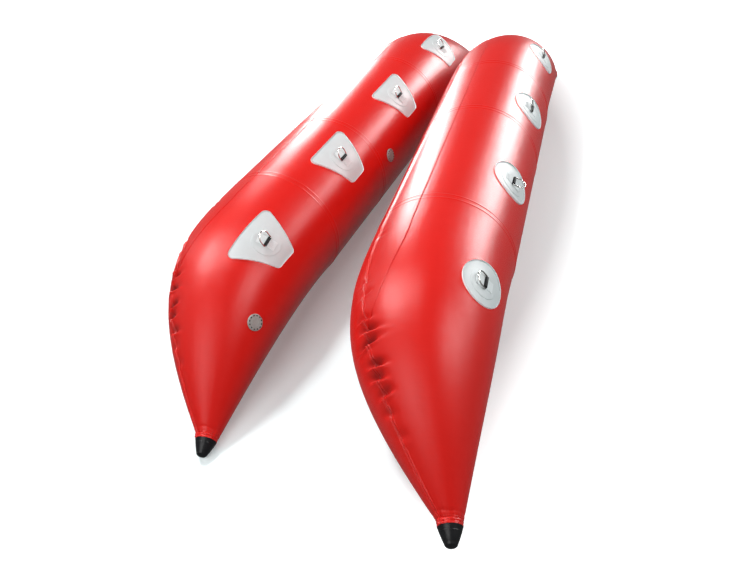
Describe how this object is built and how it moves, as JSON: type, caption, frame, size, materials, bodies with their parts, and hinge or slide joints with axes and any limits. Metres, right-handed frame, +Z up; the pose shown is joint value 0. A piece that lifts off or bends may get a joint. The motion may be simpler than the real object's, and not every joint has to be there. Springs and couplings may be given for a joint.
{
  "type": "pair of inflatable pontoons",
  "caption": "Pair of inflatable pontoons: tapered double-ended air tubes with rubber nose caps, bonded patches with steel tie rings, keel wear strips and inflation valves.",
  "frame": {"origin": "centre of the pair's bounding box at the floor that both tubes lie on", "axes": "+Z up, +Y away from the viewer along the tubes, +X to the viewer's right, towards which both tubes' deck sides are rolled"},
  "size_m": [1.3988, 3.5448, 0.5474],
  "materials": {
    "red_pvc": "satin coated cloth",
    "red_strip": "satin coated cloth",
    "grey_pvc": "matt coated cloth and webbing",
    "black_rubber": "smooth moulded",
    "steel": "polished stainless wire",
    "valve_grey": "moulded, slightly glossy",
    "bulkhead_cloth": "plain coated cloth"
  },
  "bodies": {
    "left_hull": {"left_skin": "red_pvc", "left_bulkhead": "bulkhead_cloth", "left_keel_strip": "red_strip", "left_bow_cap": "black_rubber", "left_stern_cap": "black_rubber", "left_valve_1_body": "valve_grey", "left_valve_1_spring": "steel", "left_valve_2_body": "valve_grey", "left_valve_2_spring": "steel", "left_inboard_patch_1": "grey_pvc", "left_inboard_patch_2": "grey_pvc", "left_inboard_patch_3": "grey_pvc", "left_inboard_patch_4": "grey_pvc", "left_outboard_patch_1": "grey_pvc", "left_outboard_patch_2": "grey_pvc", "left_outboard_patch_3": "grey_pvc", "left_outboard_patch_4": "grey_pvc"},
    "right_hull": {"right_skin": "red_pvc", "right_bulkhead": "bulkhead_cloth", "right_keel_strip": "red_strip", "right_bow_cap": "black_rubber", "right_stern_cap": "black_rubber", "right_valve_1_body": "valve_grey", "right_valve_1_spring": "steel", "right_valve_2_body": "valve_grey", "right_valve_2_spring": "steel", "right_inboard_patch_1": "grey_pvc", "right_inboard_patch_2": "grey_pvc", "right_inboard_patch_3": "grey_pvc", "right_inboard_patch_4": "grey_pvc", "right_outboard_patch_1": "grey_pvc", "right_outboard_patch_2": "grey_pvc", "right_outboard_patch_3": "grey_pvc", "right_outboard_patch_4": "grey_pvc"},
    "left_inboard_ring_1": {"left_inboard_ring_1": "steel"},
    "left_inboard_ring_2": {"left_inboard_ring_2": "steel"},
    "left_inboard_ring_3": {"left_inboard_ring_3": "steel"},
    "left_inboard_ring_4": {"left_inboard_ring_4": "steel"},
    "left_outboard_ring_1": {"left_outboard_ring_1": "steel"},
    "left_outboard_ring_2": {"left_outboard_ring_2": "steel"},
    "left_outboard_ring_3": {"left_outboard_ring_3": "steel"},
    "left_outboard_ring_4": {"left_outboard_ring_4": "steel"},
    "left_valve_1_lid": {"left_valve_1_lid": "valve_grey"},
    "left_valve_1_stem": {"left_valve_1_stem": "valve_grey"},
    "left_valve_2_lid": {"left_valve_2_lid": "valve_grey"},
    "left_valve_2_stem": {"left_valve_2_stem": "valve_grey"},
    "right_inboard_ring_1": {"right_inboard_ring_1": "steel"},
    "right_inboard_ring_2": {"right_inboard_ring_2": "steel"},
    "right_inboard_ring_3": {"right_inboard_ring_3": "steel"},
    "right_inboard_ring_4": {"right_inboard_ring_4": "steel"},
    "right_outboard_ring_1": {"right_outboard_ring_1": "steel"},
    "right_outboard_ring_2": {"right_outboard_ring_2": "steel"},
    "right_outboard_ring_3": {"right_outboard_ring_3": "steel"},
    "right_outboard_ring_4": {"right_outboard_ring_4": "steel"},
    "right_valve_1_lid": {"right_valve_1_lid": "valve_grey"},
    "right_valve_1_stem": {"right_valve_1_stem": "valve_grey"},
    "right_valve_2_lid": {"right_valve_2_lid": "valve_grey"},
    "right_valve_2_stem": {"right_valve_2_stem": "valve_grey"}
  },
  "joints": [
    {"name": "right_hull_slide", "type": "slide", "parent": "left_hull", "child": "right_hull", "axis": [1, 0, 0], "range_m": [-0.015, 0.5]},
    {"name": "left_inboard_ring_1_swing", "type": "hinge", "parent": "left_hull", "child": "left_inboard_ring_1", "pos_m": [-0.23782, -0.90644, 0.45508], "axis": [-0.0488, -0.9879, -0.1472], "range_deg": [-148, 28]},
    {"name": "left_inboard_ring_2_swing", "type": "hinge", "parent": "left_hull", "child": "left_inboard_ring_2", "pos_m": [-0.17459, -0.2514, 0.46221], "axis": [-0.0826, -0.9966, 0], "range_deg": [-148, 28]},
    {"name": "left_inboard_ring_3_swing", "type": "hinge", "parent": "left_hull", "child": "left_inboard_ring_3", "pos_m": [-0.12055, 0.4003, 0.46221], "axis": [-0.0826, -0.9966, 0], "range_deg": [-148, 28]},
    {"name": "left_inboard_ring_4_swing", "type": "hinge", "parent": "left_hull", "child": "left_inboard_ring_4", "pos_m": [-0.07504, 1.0568, 0.45508], "axis": [-0.1146, -0.9824, 0.1472], "range_deg": [-148, 28]},
    {"name": "left_outboard_ring_1_swing", "type": "hinge", "parent": "left_hull", "child": "left_outboard_ring_1", "pos_m": [-0.62124, -0.86278, 0.06987], "axis": [-0.0452, 0.9979, 0.0474], "range_deg": [-43.28, 132.72]},
    {"name": "left_outboard_ring_2_swing", "type": "hinge", "parent": "left_hull", "child": "left_outboard_ring_2", "pos_m": [-0.57226, -0.21843, 0.06213], "axis": [0.0826, 0.9966, 0], "range_deg": [-46.38, 129.62]},
    {"name": "left_outboard_ring_3_swing", "type": "hinge", "parent": "left_hull", "child": "left_outboard_ring_3", "pos_m": [-0.51823, 0.43327, 0.06213], "axis": [0.0826, 0.9966, 0], "range_deg": [-46.38, 129.62]},
    {"name": "left_outboard_ring_4_swing", "type": "hinge", "parent": "left_hull", "child": "left_outboard_ring_4", "pos_m": [-0.46041, 1.07689, 0.06987], "axis": [0.209, 0.9768, -0.0474], "range_deg": [-43.28, 132.72]},
    {"name": "left_valve_1_lid_pull", "type": "slide", "parent": "left_hull", "child": "left_valve_1_lid", "axis": [0.8952, -0.2656, 0.3578], "range_m": [0, 0.04]},
    {"name": "left_valve_1_stem_push", "type": "slide", "parent": "left_hull", "child": "left_valve_1_stem", "axis": [-0.8952, 0.2656, -0.3578], "range_m": [0, 0.005], "stiffness_N_per_m": 800, "springref_m": -0.004, "deforming": ["left_valve_1_spring"]},
    {"name": "left_valve_2_lid_pull", "type": "slide", "parent": "left_hull", "child": "left_valve_2_lid", "axis": [0.9908, -0.0822, 0.1076], "range_m": [0, 0.04]},
    {"name": "left_valve_2_stem_push", "type": "slide", "parent": "left_hull", "child": "left_valve_2_stem", "axis": [-0.9908, 0.0822, -0.1076], "range_m": [0, 0.005], "stiffness_N_per_m": 800, "springref_m": -0.004, "deforming": ["left_valve_2_spring"]},
    {"name": "right_inboard_ring_1_swing", "type": "hinge", "parent": "right_hull", "child": "right_inboard_ring_1", "pos_m": [0.07964, 0.88334, 0.11079], "axis": [0.0744, 0.9954, -0.0611], "range_deg": [-31.87, 144.12]},
    {"name": "right_inboard_ring_2_swing", "type": "hinge", "parent": "right_hull", "child": "right_inboard_ring_2", "pos_m": [0.11304, 0.22611, 0.10346], "axis": [-0.064, 0.9979, 0], "range_deg": [-34.97, 141.02]},
    {"name": "right_inboard_ring_3_swing", "type": "hinge", "parent": "right_hull", "child": "right_inboard_ring_3", "pos_m": [0.1549, -0.42648, 0.10346], "axis": [-0.064, 0.9979, 0], "range_deg": [-34.97, 141.02]},
    {"name": "right_inboard_ring_4_swing", "type": "hinge", "parent": "right_hull", "child": "right_inboard_ring_4", "pos_m": [0.20573, -1.08259, 0.11079], "axis": [-0.2009, 0.9777, 0.0611], "range_deg": [-31.87, 144.12]},
    {"name": "right_outboard_ring_1_swing", "type": "hinge", "parent": "right_hull", "child": "right_outboard_ring_1", "pos_m": [0.53252, 0.90054, 0.41394], "axis": [0.0419, -0.99, 0.1343], "range_deg": [-148, 28]},
    {"name": "right_outboard_ring_2_swing", "type": "hinge", "parent": "right_hull", "child": "right_outboard_ring_2", "pos_m": [0.58232, 0.25622, 0.41678], "axis": [0.064, -0.9979, 0], "range_deg": [-148, 28]},
    {"name": "right_outboard_ring_3_swing", "type": "hinge", "parent": "right_hull", "child": "right_outboard_ring_3", "pos_m": [0.62418, -0.39638, 0.41678], "axis": [0.064, -0.9979, 0], "range_deg": [-28, 148]},
    {"name": "right_outboard_ring_4_swing", "type": "hinge", "parent": "right_hull", "child": "right_outboard_ring_4", "pos_m": [0.65711, -1.04179, 0.41394], "axis": [0.085, -0.9873, -0.1343], "range_deg": [-168, 8]},
    {"name": "right_valve_1_lid_pull", "type": "slide", "parent": "right_hull", "child": "right_valve_1_lid", "axis": [-0.5404, 0.1565, -0.8268], "range_m": [0, 0.04]},
    {"name": "right_valve_1_stem_push", "type": "slide", "parent": "right_hull", "child": "right_valve_1_stem", "axis": [0.5404, -0.1565, 0.8268], "range_m": [0, 0.005], "stiffness_N_per_m": 800, "springref_m": -0.004, "deforming": ["right_valve_1_spring"]},
    {"name": "right_valve_2_lid_pull", "type": "slide", "parent": "right_hull", "child": "right_valve_2_lid", "axis": [-0.3839, -0.0246, -0.923], "range_m": [0, 0.04]},
    {"name": "right_valve_2_stem_push", "type": "slide", "parent": "right_hull", "child": "right_valve_2_stem", "axis": [0.3839, 0.0246, 0.923], "range_m": [0, 0.005], "stiffness_N_per_m": 800, "springref_m": -0.004, "deforming": ["right_valve_2_spring"]}
  ]
}
